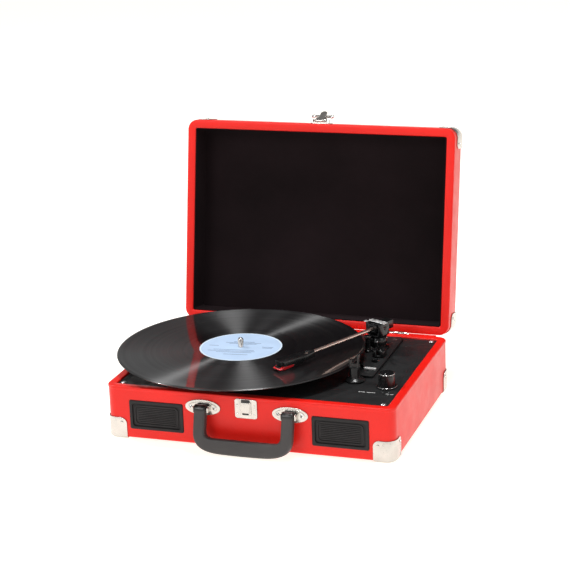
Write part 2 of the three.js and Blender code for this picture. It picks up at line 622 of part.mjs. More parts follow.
// Electronics and rear connectors
function board() {
  const { x, y, z, w, d } = BOARD;
  let s = box(x - w / 2, x + w / 2, y - d / 2, y + d / 2, z, z + 1.6);
  const chips = [[-30, -15, 12, 10, 9], [-8, 10, 16, 12, 5], [18, -12, 9, 9, 12], [30, 14, 14, 8, 6]];
  for (const [cx, cy, cw, cd, ch] of chips) {
    s = s.add(box(x + cx - cw / 2, x + cx + cw / 2, y + cy - cd / 2, y + cy + cd / 2, z + 1, z + 1.6 + ch));
  }
  return s;
}
node('circuit_board', board(), material(0x1d5a34, 0.5));

function rearPanel() {
  let s = slabY(roundedRect(64, 26, 2.7), BACK - 4, BACK - 1, REAR.x, REAR.z);
  for (const dx of [-18, 0]) s = s.subtract(cylinderY(REAR.x + dx, BACK - 6, BACK + 1, REAR.z, 5, 20));
  return s.subtract(cylinderY(REAR.x + 20, BACK - 6, BACK + 1, REAR.z, 4.2, 20));
}
node('rear_panel', rearPanel(), blackPlastic());

function rcaJacks() {
  let s = box(REAR.x - 26, REAR.x + 8, BACK - 16, BACK - 4.4, REAR.z - 8, REAR.z + 8);
  for (const dx of [-18, 0]) {
    s = s.add(cylinderY(REAR.x + dx, BACK - 5, BACK + 5, REAR.z, 4.2, 18));
    s = s.subtract(cylinderY(REAR.x + dx, BACK - 3, BACK + 6, REAR.z, 1.7, 12));
  }
  return s;
}
node('rca_jacks', rcaJacks(), nickel());

function dcSocket() {
  let s = box(REAR.x + 13, REAR.x + 27, BACK - 16, BACK - 4.4, REAR.z - 6, REAR.z + 6);
  s = s.add(cylinderY(REAR.x + 20, BACK - 5, BACK - 1, REAR.z, 3.9, 20));
  s = s.subtract(cylinderY(REAR.x + 20, BACK - 12, BACK, REAR.z, 2.8, 16));
  return s.add(cylinderY(REAR.x + 20, BACK - 13, BACK - 2.5, REAR.z, 0.6, 10));
}
node('dc_socket', dcSocket(), blackPlastic());

export default object;
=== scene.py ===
"""Suitcase record player: materials, fine surfaces, the record on its platter, light and camera."""

import json
import math

import bmesh
import bpy
from mathutils import Matrix, Vector


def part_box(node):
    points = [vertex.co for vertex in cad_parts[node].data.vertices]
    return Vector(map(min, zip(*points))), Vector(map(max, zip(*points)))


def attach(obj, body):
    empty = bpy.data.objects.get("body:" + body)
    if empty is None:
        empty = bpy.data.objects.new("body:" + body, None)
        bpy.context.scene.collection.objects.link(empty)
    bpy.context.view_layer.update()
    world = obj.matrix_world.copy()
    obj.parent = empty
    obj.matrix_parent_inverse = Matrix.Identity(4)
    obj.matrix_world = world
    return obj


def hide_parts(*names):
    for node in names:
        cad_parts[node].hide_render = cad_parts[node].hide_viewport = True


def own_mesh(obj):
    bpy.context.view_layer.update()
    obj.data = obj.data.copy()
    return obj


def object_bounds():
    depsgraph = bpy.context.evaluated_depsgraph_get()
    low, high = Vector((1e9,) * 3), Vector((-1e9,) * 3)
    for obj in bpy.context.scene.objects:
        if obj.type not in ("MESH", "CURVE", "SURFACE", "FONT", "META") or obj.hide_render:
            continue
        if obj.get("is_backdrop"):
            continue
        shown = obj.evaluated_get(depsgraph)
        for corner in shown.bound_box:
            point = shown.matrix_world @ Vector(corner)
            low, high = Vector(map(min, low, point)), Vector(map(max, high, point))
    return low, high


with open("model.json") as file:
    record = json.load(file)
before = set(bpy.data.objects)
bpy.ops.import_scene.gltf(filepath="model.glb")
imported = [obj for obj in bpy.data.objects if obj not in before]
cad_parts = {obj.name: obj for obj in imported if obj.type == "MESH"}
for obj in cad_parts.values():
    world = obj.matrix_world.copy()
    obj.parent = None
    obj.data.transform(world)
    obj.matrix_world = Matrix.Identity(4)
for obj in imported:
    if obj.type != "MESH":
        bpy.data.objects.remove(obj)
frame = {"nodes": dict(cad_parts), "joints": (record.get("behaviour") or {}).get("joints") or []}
CAD_LOW, CAD_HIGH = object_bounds()
MM = 0.001
SIDES = (("left", -1), ("right", 1))
CORNERS = (("front_left", -1, -1), ("front_right", 1, -1), ("back_left", -1, 1), ("back_right", 1, 1))
JOINTS = {j["name"]: j for j in frame["joints"]}


# Places, in millimetres, from the frame's own boxes and joints.

def box_mm(node):
    low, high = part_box(node)
    return Vector(low) / MM, Vector(high) / MM


def joint_mm(name):
    return Vector(JOINTS[name]["pos_m"]) / MM


BASE_LOW, BASE_HIGH = box_mm("base_shell")
CASE_W, CASE_D, RIM = BASE_HIGH.x - BASE_LOW.x, BASE_HIGH.y - BASE_LOW.y, BASE_HIGH.z
FRONT, BACK = BASE_LOW.y, BASE_HIGH.y
WALL, CORNER_R = 10, 12
LID_H = 39
LID_TOP = RIM + LID_H
RIM_GAP = 0.15
LID_SKIN, BASE_SKIN = 2.2, 5
HINGE_X, KNUCKLE_HALF, KNUCKLE_NOTCH_R = 105, 18.6, 2.6
PLATE_GAP = 0.3
DECK = box_mm("deck_panel")[1].z
HINGE = joint_mm("lid_hinge")
LID_OPEN = math.radians(JOINTS["lid_hinge"]["range_deg"][1])
PLATTER = joint_mm("platter_spin")
MAT_TOP = box_mm("platter_mat")[1].z
PIVOT = joint_mm("tonearm_lift")
ARM_YAW = math.atan2(JOINTS["tonearm_lift"]["axis"][1], -JOINTS["tonearm_lift"]["axis"][0])
BAIL = joint_mm("handle_swing")
BAIL_TILT = math.radians(15)

# The lid's own pieces are made as they lie with the lid shut, and turned open about the hinge.
LID = Matrix.Translation(HINGE) @ Matrix.Rotation(-LID_OPEN, 4, "X") @ Matrix.Translation(-HINGE)
# The arm's pieces are made along -Y from the pivot.
ARM = Matrix.Translation((PIVOT.x, PIVOT.y, PIVOT.z)) @ Matrix.Rotation(-ARM_YAW, 4, "Z")
BAIL_AT = Matrix.Translation(BAIL) @ Matrix.Rotation(-BAIL_TILT, 4, "X")


# Materials

class Nodes:
    """A short hand for building one node tree."""

    def __init__(self, name):
        self.material = bpy.data.materials.new(name)
        self.material.use_nodes = True
        self.tree = self.material.node_tree
        self.shader = self.tree.nodes["Principled BSDF"]
        self.place = self.add("ShaderNodeTexCoord").outputs["Object"]

    def add(self, kind, **values):
        node = self.tree.nodes.new(kind)
        for key, value in values.items():
            setattr(node, key, value)
        return node

    def link(self, out, into):
        self.tree.links.new(out, into)

    def noise(self, scale, detail=4, stretch=None):
        node = self.add("ShaderNodeTexNoise")
        node.inputs["Scale"].default_value = scale
        node.inputs["Detail"].default_value = detail
        source = self.place
        if stretch:
            mapping = self.add("ShaderNodeMapping")
            mapping.inputs["Scale"].default_value = stretch
            self.link(source, mapping.inputs["Vector"])
            source = mapping.outputs["Vector"]
        self.link(source, node.inputs["Vector"])
        return node.outputs["Fac"]

    def cells(self, scale):
        node = self.add("ShaderNodeTexVoronoi", feature="DISTANCE_TO_EDGE")
        node.inputs["Scale"].default_value = scale
        self.link(self.place, node.inputs["Vector"])
        return node.outputs["Distance"]

    def span(self, value, low, high, from_low=0.3, from_high=0.7):
        node = self.add("ShaderNodeMapRange")
        node.inputs["From Min"].default_value = from_low
        node.inputs["From Max"].default_value = from_high
        node.inputs["To Min"].default_value = low
        node.inputs["To Max"].default_value = high
        self.link(value, node.inputs["Value"])
        return node.outputs["Result"]

    def mix(self, factor, a, b):
        node = self.add("ShaderNodeMix", data_type="RGBA")
        for socket, value in ((node.inputs["Factor"], factor), (node.inputs[6], a), (node.inputs[7], b)):
            if isinstance(value, bpy.types.NodeSocket):
                self.link(value, socket)
            elif isinstance(value, (int, float)):
                socket.default_value = value
            else:
                socket.default_value = (*value, 1)
        return node.outputs[2]

    def bump(self, height, strength, distance):
        node = self.add("ShaderNodeBump")
        node.inputs["Strength"].default_value = strength
        node.inputs["Distance"].default_value = distance
        self.link(height, node.inputs["Height"])
        last = self.shader.inputs["Normal"]
        if last.is_linked:
            self.link(last.links[0].from_socket, node.inputs["Normal"])
        self.link(node.outputs["Normal"], last)

    def uniform(self, **values):
        for key, value in values.items():
            self.shader.inputs[key.replace("_", " ")].default_value = value


def shade(color, factor):
    return tuple(c * factor for c in color)


def surface(name, color, rough, metal=0.0, grain=900, bump=0.15, depth=0.0001, vary=0.12,
            **uniform):
    """A moulded, cast or turned surface: fine grain, mottled colour and uneven gloss."""
    n = Nodes(name)
    broad = n.noise(28, 5)
    fine = n.noise(grain, 3)
    tone = n.mix(n.span(broad, 0, 1), shade(color, 1 - vary), shade(color, 1 + vary))
    n.link(tone, n.shader.inputs["Base Color"])
    n.link(n.span(n.noise(90, 6), rough * 0.8, rough * 1.2), n.shader.inputs["Roughness"])
    n.bump(fine, bump, depth)
    n.uniform(Metallic=metal, **uniform)
    return n.material


def leatherette(name, color):
    """Coated cloth pressed with a fine pebble grain, with painted shade in the grooves between the pebbles.
    """
    n = Nodes(name)
    pebble = n.cells(700)
    soft = n.noise(14, 4)
    tone = n.mix(n.span(soft, 0, 1), shade(color, 0.94), shade(color, 1.05))
    # The grooves between the pebbles are darkened toward 0.7 of the colour: painted shade.
    n.link(n.mix(n.span(pebble, 0.25, 0, 0.0, 0.12), tone, shade(color, 0.7)), n.shader.inputs["Base Color"])
    n.link(n.span(n.noise(60, 6), 0.3, 0.4), n.shader.inputs["Roughness"])
    n.bump(pebble, 0.12, 0.00025)
    n.bump(n.noise(220, 4), 0.1, 0.0004)
    n.uniform(Specular_IOR_Level=0.32)
    return n.material


def cloth(name, color):
    """Flocked lining with a faint nap."""
    n = Nodes(name)
    nap = n.noise(1500, 5)
    cloud = n.noise(9, 5)
    n.link(n.mix(n.span(cloud, 0, 1), shade(color, 0.7), shade(color, 1.35)), n.shader.inputs["Base Color"])
    n.link(n.span(nap, 0.82, 0.98), n.shader.inputs["Roughness"])
    n.bump(nap, 0.5, 0.0003)
    n.uniform(Specular_IOR_Level=0.12)
    return n.material


def plated(name, color, rough=0.16):
    """Bright plating with faint polishing lines and a little tarnish."""
    n = Nodes(name)
    dull = n.noise(35, 6)
    lines = n.noise(500, 2, (1, 1, 12))
    n.link(n.mix(n.span(dull, 0, 1), color, shade(color, 0.82)), n.shader.inputs["Base Color"])
    n.link(n.span(n.noise(150, 6), rough * 0.7, rough * 1.5), n.shader.inputs["Roughness"])
    n.bump(lines, 0.06, 0.00008)
    n.uniform(Metallic=1.0)
    return n.material


def pressed_vinyl():
    """Grooved vinyl: a spun highlight from the grooves under a hard, mirror-like face."""
    n = Nodes("vinyl")
    centre = n.add("ShaderNodeVectorMath", operation="SUBTRACT")
    centre.inputs[1].default_value = (PLATTER.x * MM, PLATTER.y * MM, 0)
    n.link(n.place, centre.inputs[0])
    flat = n.add("ShaderNodeVectorMath", operation="MULTIPLY")
    flat.inputs[1].default_value = (1, 1, 0)
    n.link(centre.outputs["Vector"], flat.inputs[0])
    radius = n.add("ShaderNodeVectorMath", operation="LENGTH")
    n.link(flat.outputs["Vector"], radius.inputs[0])
    along = n.add("ShaderNodeCombineXYZ")
    n.link(radius.outputs["Value"], along.inputs["X"])
    bands = n.add("ShaderNodeTexNoise")
    bands.inputs["Scale"].default_value = 160
    bands.inputs["Detail"].default_value = 3
    n.link(along.outputs["Vector"], bands.inputs["Vector"])
    grooves = n.add("ShaderNodeTexNoise")
    grooves.inputs["Scale"].default_value = 1500
    n.link(along.outputs["Vector"], grooves.inputs["Vector"])
    n.link(n.mix(n.span(bands.outputs["Fac"], 0, 1), (0.003, 0.003, 0.004), (0.007, 0.007, 0.007)),
           n.shader.inputs["Base Color"])
    n.link(n.span(bands.outputs["Fac"], 0.32, 0.5), n.shader.inputs["Roughness"])
    n.bump(grooves.outputs["Fac"], 0.2, 0.0001)
    outward = n.add("ShaderNodeVectorMath", operation="NORMALIZE")
    n.link(flat.outputs["Vector"], outward.inputs[0])
    n.link(outward.outputs["Vector"], n.shader.inputs["Tangent"])
    n.uniform(Anisotropic=1.0, Specular_IOR_Level=0.8, Coat_Weight=1.0, Coat_Roughness=0.025, Coat_IOR=1.42)
    return n.material


RED = leatherette("red_leatherette", (0.84, 0.013, 0.007))
LINING = cloth("black_lining", (0.010, 0.0055, 0.0065))
DECK_BLACK = surface("deck_black", (0.012, 0.0125, 0.013), 0.55, grain=1400, bump=0.35, depth=0.0002,
                     Specular_IOR_Level=0.25)
BLACK = surface("black_plastic", (0.006, 0.006, 0.0065), 0.25)
GRILLE_BLACK = surface("grille_black", (0.013, 0.011, 0.012), 0.5, grain=1200, bump=0.3,
                       Specular_IOR_Level=0.3)
GRIP = surface("grip_plastic", (0.050, 0.045, 0.045), 0.5, grain=700, bump=0.3, depth=0.0002, vary=0.08)
GRIP_DARK = surface("grip_end", (0.016, 0.015, 0.015), 0.35)
NICKEL = plated("nickel", (0.66, 0.62, 0.58), 0.2)
CHROME = plated("chrome", (0.86, 0.85, 0.84), 0.08)
SATIN = plated("satin_metal", (0.95, 0.95, 0.94), 0.5)
ROSE = surface("rose_tube", (0.90, 0.70, 0.62), 0.25, metal=1.0, grain=400, bump=0.02)
STEEL = plated("turned_steel", (0.66, 0.66, 0.67), 0.3)
BRASS = plated("brass", (0.76, 0.55, 0.26), 0.28)
RUBBER = surface("rubber", (0.014, 0.014, 0.014), 0.75, grain=1500, bump=0.4, depth=0.0002)
CHARCOAL = surface("platter_plastic", (0.012, 0.012, 0.013), 0.35)
RED_PLASTIC = surface("red_stylus", (0.62, 0.015, 0.02), 0.25)
BOARD = surface("solder_mask", (0.01, 0.09, 0.035), 0.35)
MARK = surface("printed_mark", (0.75, 0.75, 0.74), 0.6)
LABEL_BLUE = surface("label_paper", (0.46, 0.60, 0.80), 0.55, grain=2500, bump=0.1, vary=0.06)
LABEL_EDGE = surface("label_edge", (0.62, 0.74, 0.86), 0.55, grain=2500, bump=0.1, vary=0.05)
INK = surface("label_ink", (0.10, 0.14, 0.22), 0.6)
VINYL = pressed_vinyl()


# Mesh tools. Everything is drawn in millimetres and stored in metres.

def finish_mesh(name, bm, material, body, matrix=None, bevel=0.0, segments=3, smooth=40, limit=35):
    mesh = bpy.data.meshes.new(name)
    if matrix is not None:
        bmesh.ops.transform(bm, matrix=matrix, verts=bm.verts)
    bmesh.ops.scale(bm, vec=(MM, MM, MM), verts=bm.verts)
    bmesh.ops.recalc_face_normals(bm, faces=bm.faces)
    bm.to_mesh(mesh)
    bm.free()
    obj = bpy.data.objects.new(name, mesh)
    bpy.context.scene.collection.objects.link(obj)
    obj.data.materials.append(material)
    if bevel:
        soften(obj, bevel, segments, limit)
    smooth_by_angle(obj, smooth)
    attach(obj, body)
    return obj


def smooth_by_angle(obj, degrees):
    for face in obj.data.polygons:
        face.use_smooth = True
    obj.data.set_sharp_from_angle(angle=math.radians(degrees))


def soften(obj, width, segments, limit):
    """Rounds every edge that turns by more than the limit, and keeps the result as the mesh."""
    rounding = obj.modifiers.new("round", "BEVEL")
    rounding.width = width * MM
    rounding.segments = segments
    rounding.limit_method = "ANGLE"
    rounding.angle_limit = math.radians(limit)
    rounding.use_clamp_overlap = True
    apply_modifiers(obj)


def apply_modifiers(obj):
    graph = bpy.context.evaluated_depsgraph_get()
    graph.update()
    result = bpy.data.meshes.new_from_object(obj.evaluated_get(graph))
    obj.modifiers.clear()
    obj.data = result


def refined(node, material, body, bevel):
    """The CAD node's own shape with its facets smoothed over and its edges rounded."""
    bm = bmesh.new()
    bm.from_mesh(frame["nodes"][node].data)
    bmesh.ops.transform(bm, matrix=frame["nodes"][node].matrix_world, verts=bm.verts)
    bmesh.ops.remove_doubles(bm, verts=bm.verts, dist=2e-6)
    bmesh.ops.dissolve_limit(bm, angle_limit=math.radians(0.6), verts=bm.verts, edges=bm.edges)
    bmesh.ops.scale(bm, vec=(1 / MM, 1 / MM, 1 / MM), verts=bm.verts)
    piece = finish_mesh(f"{node}_fine", bm, material, body, bevel=bevel, segments=2, smooth=42)
    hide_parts(node)


def lathe(name, profile, material, body, at, segments, smooth=35):
    """Turns (radius, height) points about an upright axis."""
    bm = bmesh.new()
    points = [bm.verts.new((r, 0, z)) for r, z in profile]
    edges = [bm.edges.new(pair) for pair in zip(points, points[1:])]
    bmesh.ops.spin(bm, geom=points + edges, cent=(0, 0, 0), axis=(0, 0, 1), angle=2 * math.pi, steps=segments)
    bmesh.ops.remove_doubles(bm, verts=bm.verts, dist=1e-4)
    bmesh.ops.translate(bm, vec=at, verts=bm.verts)
    return finish_mesh(name, bm, material, body, smooth=smooth)


def arc(cx, cy, r, start, end, steps=8):
    turn = [math.radians(start + (end - start) * i / steps) for i in range(steps + 1)]
    return [(cx + r * math.cos(a), cy + r * math.sin(a)) for a in turn]


def disc(cx, cy, r, sides=24):
    return arc(cx, cy, r, 0, 360 - 360 / sides, sides - 1)


def rounded_rect(w, h, r, steps=6, cx=0, cy=0):
    x, y = w / 2 - r, h / 2 - r
    return (arc(cx + x, cy + y, r, 0, 90, steps) + arc(cx - x, cy + y, r, 90, 180, steps)
            + arc(cx - x, cy - y, r, 180, 270, steps) + arc(cx + x, cy - y, r, 270, 360, steps))


def add_prism(bm, outline, low, high, axis="z"):
    """A flat outline drawn across the axis, given thickness from low to high along it."""
    def at(p, h):
        return {"z": (p[0], p[1], h), "y": (p[0], h, p[1]), "x": (h, p[0], p[1])}[axis]
    bottom = [bm.verts.new(at(p, low)) for p in outline]
    top = [bm.verts.new(at(p, high)) for p in outline]
    bm.faces.new(bottom)
    bm.faces.new(list(reversed(top)))
    for i in range(len(outline)):
        j = (i + 1) % len(outline)
        bm.faces.new((bottom[i], top[i], top[j], bottom[j]))


def add_skin(bm, loops):
    """Faces between each loop of vertices and the next."""
    for a, b in zip(loops, loops[1:]):
        for i in range(len(a)):
            j = (i + 1) % len(a)
            bm.faces.new((a[i], a[j], b[j], b[i]))


def prism(name, outlines, material, body, axis="z", matrix=None, bevel=0.3, segments=3, smooth=40, limit=50):
    """Several flat outlines as one piece: each entry is (outline, low, high)."""
    bm = bmesh.new()
    for outline, low, high in outlines:
        add_prism(bm, outline, low, high, axis)
    return finish_mesh(name, bm, material, body, matrix, bevel, segments, smooth, limit)


def domes(name, places, r, h, material, body, axis="y", matrix=None):
    """Low domed heads, such as nails and screws, sitting on a flat face."""
    bm = bmesh.new()
    turn = {"y": Matrix.Rotation(math.radians(90), 4, "X"), "z": Matrix.Identity(4)}[axis]
    for x, y, z in places:
        made = bmesh.ops.create_uvsphere(bm, u_segments=20, v_segments=10, radius=1)
        spot = Matrix.Translation((x, y, z)) @ turn @ Matrix.Diagonal((r, r, h, 1))
        bmesh.ops.transform(bm, matrix=spot, verts=made["verts"])
    return finish_mesh(name, bm, material, body, matrix)


def loop_at(inset, z, steps=10):
    r = max(CORNER_R - inset, 2.4)
    return [(x, y, z) for x, y in rounded_rect(CASE_W - 2 * inset, CASE_D - 2 * inset, r, steps)]


def case_half(name, profile, body, matrix=None):
    """A tray whose wall section (inset, height) runs round the case, closed at both ends of the section."""
    bm = bmesh.new()
    rings = [[bm.verts.new(p) for p in loop_at(*step)] for step in profile]
    add_skin(bm, rings)
    bm.faces.new(list(reversed(rings[0])))
    bm.faces.new(rings[-1])
    return finish_mesh(name, bm, RED, body, matrix, smooth=38)


def cut(piece, outlines, axis):
    """Takes flat-sided openings out of a piece."""
    bm = bmesh.new()
    for outline, low, high in outlines:
        add_prism(bm, outline, low, high, axis)
    subtract(piece, bm)


def subtract(piece, bm):
    bmesh.ops.scale(bm, vec=(MM, MM, MM), verts=bm.verts)
    bmesh.ops.recalc_face_normals(bm, faces=bm.faces)
    mesh = bpy.data.meshes.new("cutter")
    bm.to_mesh(mesh)
    bm.free()
    tool = bpy.data.objects.new("cutter", mesh)
    bpy.context.scene.collection.objects.link(tool)
    opening = piece.modifiers.new("opening", "BOOLEAN")
    opening.operation = "DIFFERENCE"
    opening.solver = "EXACT"
    opening.object = tool
    apply_modifiers(piece)
    bpy.data.objects.remove(tool)
    smooth_by_angle(piece, 38)


def cut_seam(piece, w, d, r, seam):
    """Takes a groove, half as deep as it is wide, out of a piece's underside round a rounded rectangle."""
    inner, outer = (w, d, r), (w + seam, d + seam, r + seam / 2)
    low, high = -1, seam / 2
    bm = bmesh.new()
    loops = [[bm.verts.new((x, y, z)) for x, y in rounded_rect(*size, 6)]
             for size, z in ((outer, low), (outer, high), (inner, high), (inner, low))]
    add_skin(bm, loops + loops[:1])
    subtract(piece, bm)


# Case: two trays with a rounded outer edge, a raised binding along the rim and a soft inner lip

def wall_section(end, rim, floor, turn):
    """Section from the closed end to the rim and down inside; turn is +1 for the base and -1 for the lid."""
    edge = [(3.0 - 3.0 * math.sin(a), end + turn * 3.0 * (1 - math.cos(a)))
            for a in (math.radians(15 * i) for i in range(7))]
    bead = [(0.0, rim - turn * 4.2), (-0.35, rim - turn * 3.9), (-0.5, rim - turn * 3.2),
            (-0.5, rim - turn * 1.4), (-0.25, rim - turn * 0.6), (0.5, rim - turn * 0.1), (1.4, rim)]
    lip = [(WALL - 1.4, rim), (WALL - 0.5, rim - turn * 0.3), (WALL, rim - turn * 1.1), (WALL, floor)]
    return edge + bead + lip


GRILLE = [box_mm(f"speaker_grille_{name}") for name, _ in SIDES]
REAR_LOW, REAR_HIGH = box_mm("rear_panel")


def centre_of(low, high):
    return (low + high) / 2


def opening(low, high, r, front, back):
    """A rounded window that leaves a gap round the box it takes."""
    c, size = centre_of(low, high), high - low
    return rounded_rect(size.x + 2 * PLATE_GAP, size.z + 2 * PLATE_GAP, r, 6, c.x, c.z), front, back


base = case_half("base_case", wall_section(0, RIM, BASE_SKIN, 1), "base")
cut(base, [opening(low, high, 2.3, FRONT - 2, FRONT + 3.4) for low, high in GRILLE], "y")
cut(base, [opening(REAR_LOW, REAR_HIGH, 3, BACK - WALL - 2, BACK + 2)], "y")
cut_seam(base, w=240, d=152, r=6, seam=1.2)
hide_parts("base_shell")

lid = case_half("lid_case", wall_section(LID_TOP, RIM + RIM_GAP, LID_TOP - LID_SKIN, -1), "lid", LID)
notch = disc(HINGE.y, HINGE.z, KNUCKLE_NOTCH_R)
notches = [(notch, sx * HINGE_X - KNUCKLE_HALF, sx * HINGE_X + KNUCKLE_HALF) for _, sx in SIDES]
for piece in (base, lid):
    cut(piece, notches, "x")
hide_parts("lid_shell")

PLAIN = {
    "lid_lining": (LINING, "lid", 0.6), "deck_panel": (DECK_BLACK, "base", 0.2),
    "platter": (CHARCOAL, "turntable", 0.3), "platter_mat": (RUBBER, "turntable", 0.3),
    "spindle": (CHROME, "turntable", 0.2), "mechanism_plate": (DECK_BLACK, "base", 0.5),
    "swivel_base": (BLACK, "base", 0.3), "lift_post": (BLACK, "base", 0.3),
    "arm_fork": (BLACK, "arm_swivel", 0.5), "arm_carrier": (BLACK, "tonearm", 0.5),
    "headshell": (BLACK, "tonearm", 0.5), "cartridge": (BLACK, "tonearm", 0.4),
    "arm_rest": (BLACK, "base", 0.35), "cue_housing": (BLACK, "base", 0.6), "cue_lever": (BLACK, "cue", 0.3),
    "speed_switch": (SATIN, "speed", 0.3), "autostop_switch": (BLACK, "autostop", 0.3),
    "rear_panel": (GRILLE_BLACK, "base", 0.3), "dc_socket": (BLACK, "base", 0.2),
    "rca_jacks": (NICKEL, "base", 0.2), "motor": (STEEL, "base", 0.3),
    "motor_pulley": (BRASS, "pulley", 0.15), "drive_belt": (RUBBER, "base", 0.1),
    "bearing_bush": (BRASS, "base", 0.2), "circuit_board": (BOARD, "base", 0.1),
    "volume_pot": (STEEL, "base", 0.2),
    "speaker_left": (BLACK, "base", 0.2), "speaker_right": (BLACK, "base", 0.2),
    "hasp_base": (NICKEL, "lid", 0.25),
}
for side, _ in SIDES:
    PLAIN[f"hinge_base_leaf_{side}"] = (NICKEL, "base", 0.2)
    PLAIN[f"hinge_lid_leaf_{side}"] = (NICKEL, "lid", 0.2)
for corner, _, _ in CORNERS:
    PLAIN[f"base_corner_{corner}"] = (NICKEL, "base", 0.25)
    PLAIN[f"lid_corner_{corner}"] = (NICKEL, "lid", 0.25)
    PLAIN[f"foot_{corner}"] = (RUBBER, "base", 0.6)
    PLAIN[f"deck_screw_{corner}"] = (STEEL, "base", 0.1)
for node, (material, body, bevel) in PLAIN.items():
    refined(node, material, body, bevel)


# The roll of covering cloth over the hinge line, between and beside the two hinges
cloth_roll = disc(HINGE.y, HINGE.z, 0.85)
for name, x0, x1 in (("left", -160, -125), ("middle", -85, 85), ("right", 125, 160)):
    roll = prism(f"hinge_roll_{name}", [(cloth_roll, x0, x1)], RED, "base", "x", bevel=0)


# Speaker grilles: a moulded frame, a raised inner border and fine louvres

def add_ring(bm, cx, cz, outer, inner, front, back):
    """A rectangular frame facing -Y; outer and inner are (width, height, corner radius)."""
    def loop(size, y):
        return [bm.verts.new((x, y, z)) for x, z in rounded_rect(*size, 6, cx, cz)]
    loops = [loop(outer, back), loop(outer, front), loop(inner, front), loop(inner, back)]
    add_skin(bm, loops + loops[:1])


def grille(name, low, high):
    c, size = centre_of(low, high), high - low
    w, h, face = size.x, size.z, low.y
    bm = bmesh.new()
    add_ring(bm, c.x, c.z, (w, h, 2), (w - 7, h - 7, 3.5), face, face + 1.6)
    add_ring(bm, c.x, c.z, (w - 12, h - 11, 5), (w - 15, h - 14, 4), face + 0.6, face + 1.8)
    add_prism(bm, rounded_rect(w, h, 2, 6, c.x, c.z), face + 1.5, face + 3.6, "y")
    lines = 9
    pitch = (h - 16) / lines
    for i in range(lines):
        z = c.z - (h - 16) / 2 + (i + 0.5) * pitch
        add_prism(bm, rounded_rect(w - 20, pitch * 0.5, pitch * 0.2, 3, c.x, z), face + 0.9, face + 1.6, "y")
    piece = finish_mesh(f"grille_{name}_fine", bm, GRILLE_BLACK, "base", bevel=0.2, segments=2, limit=50)
    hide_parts(f"speaker_grille_{name}")


for (name, _), (low, high) in zip(SIDES, GRILLE):
    grille(name, low, high)


# Handle: a moulded bar on two legs, with dark looped ends over the pins

LEG_X = centre_of(*box_mm("handle_plate_right")).x
LEG, GRIP_T, DROP, BAR = 14, 11, 50, 18
LOOP_R, LOOP_HALF = 5.9, 7.3


def bezier(p0, p1, p2, p3, steps=12):
    out = []
    for i in range(steps + 1):
        t = i / steps
        k = ((1 - t) ** 3, 3 * t * (1 - t) ** 2, 3 * t * t * (1 - t), t ** 3)
        out.append(tuple(sum(w * p[a] for w, p in zip(k, (p0, p1, p2, p3))) for a in (0, 1)))
    return out


def bail_outline():
    out, inn, low = LEG_X + LEG / 2, LEG_X - LEG / 2, -DROP
    right = bezier((0, low), (20, low), (out - 30, low + 0.4), (out - 26, low + 0.9), 6)
    right += bezier((out - 24, low + 1.2), (out - 10, low + 3), (out, low + 9), (out, low + 24), 14)
    right += arc(LEG_X, -2, LEG / 2, 0, 180, 12)
    top = low + BAR
    right += bezier((inn, top + 9), (inn, top + 2), (inn - 3, top), (inn - 11, top), 8)
    left = [(-x, z) for x, z in reversed(right) if x > 0]
    return right + left


handle = prism("handle_fine", [(bail_outline(), -GRIP_T / 2, GRIP_T / 2)], GRIP, "carry_handle", "y", BAIL_AT,
               bevel=3.0, segments=5, smooth=50, limit=60)
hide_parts("handle")
for name, sx in SIDES:
    ends = sx * LEG_X - LOOP_HALF, sx * LEG_X + LOOP_HALF
    loop = prism(f"handle_loop_{name}", [(disc(0, 0, LOOP_R), *ends)], GRIP_DARK, "carry_handle", "x",
                 BAIL_AT, bevel=1.6, segments=4)


# Handle plates: ovals with a raised inner step and two cross-head screws, whose cross recesses are black bars
# of painted shade

def oval(w, h, steps=40):
    """An oval a little fuller than an ellipse."""
    out = []
    for i in range(steps):
        a = 2 * math.pi * i / steps
        c, d = math.cos(a), math.sin(a)
        out.append((w / 2 * math.copysign(abs(c) ** 0.94, c), h / 2 * math.copysign(abs(d) ** 0.94, d)))
    return out


def moved(outline, x, z):
    return [(px + x, pz + z) for px, pz in outline]


PLATE_BACK = FRONT - PLATE_GAP
EAR_X, SCREW_X, PIN_HALF = 8.9, 14.5, 9.6
for name, sx in SIDES:
    x, z = sx * LEG_X, BAIL.z
    steps = [(moved(oval(43, 18.6), x, z), PLATE_BACK - 1.1, PLATE_BACK),
             (moved(oval(36, 13.5), x, z), PLATE_BACK - 1.6, PLATE_BACK)]
    ears = [(rounded_rect(2, 6.4, 0.9, 4, x + dx, z), BAIL.y - 3, PLATE_BACK) for dx in (-EAR_X, EAR_X)]
    plate = prism(f"handle_plate_{name}_fine", steps + ears, NICKEL, "base", "y", bevel=0.4)
    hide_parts(f"handle_plate_{name}")
    heads = [(x + dx, PLATE_BACK - 1.4, z) for dx in (-SCREW_X, SCREW_X)]
    domes(f"plate_screws_{name}", heads, 2.3, 1.1, CHROME, "base")
    # Black bars in each screw head stand for the shade in its cross recess: painted shade.
    cross_shade = []
    for hx, hy, hz in heads:
        for w, h in ((2.6, 0.55), (0.55, 2.6)):
            cross_shade.append((rounded_rect(w, h, 0.2, 2, hx, hz), hy - 1.16, hy - 0.5))
    prism(f"plate_cross_shade_{name}", cross_shade, BLACK, "base", "y", bevel=0)
    pin = prism(f"handle_pin_{name}", [(disc(BAIL.y, BAIL.z, 1.7), x - PIN_HALF, x + PIN_HALF)], NICKEL,
                "base", "x", bevel=0.2)
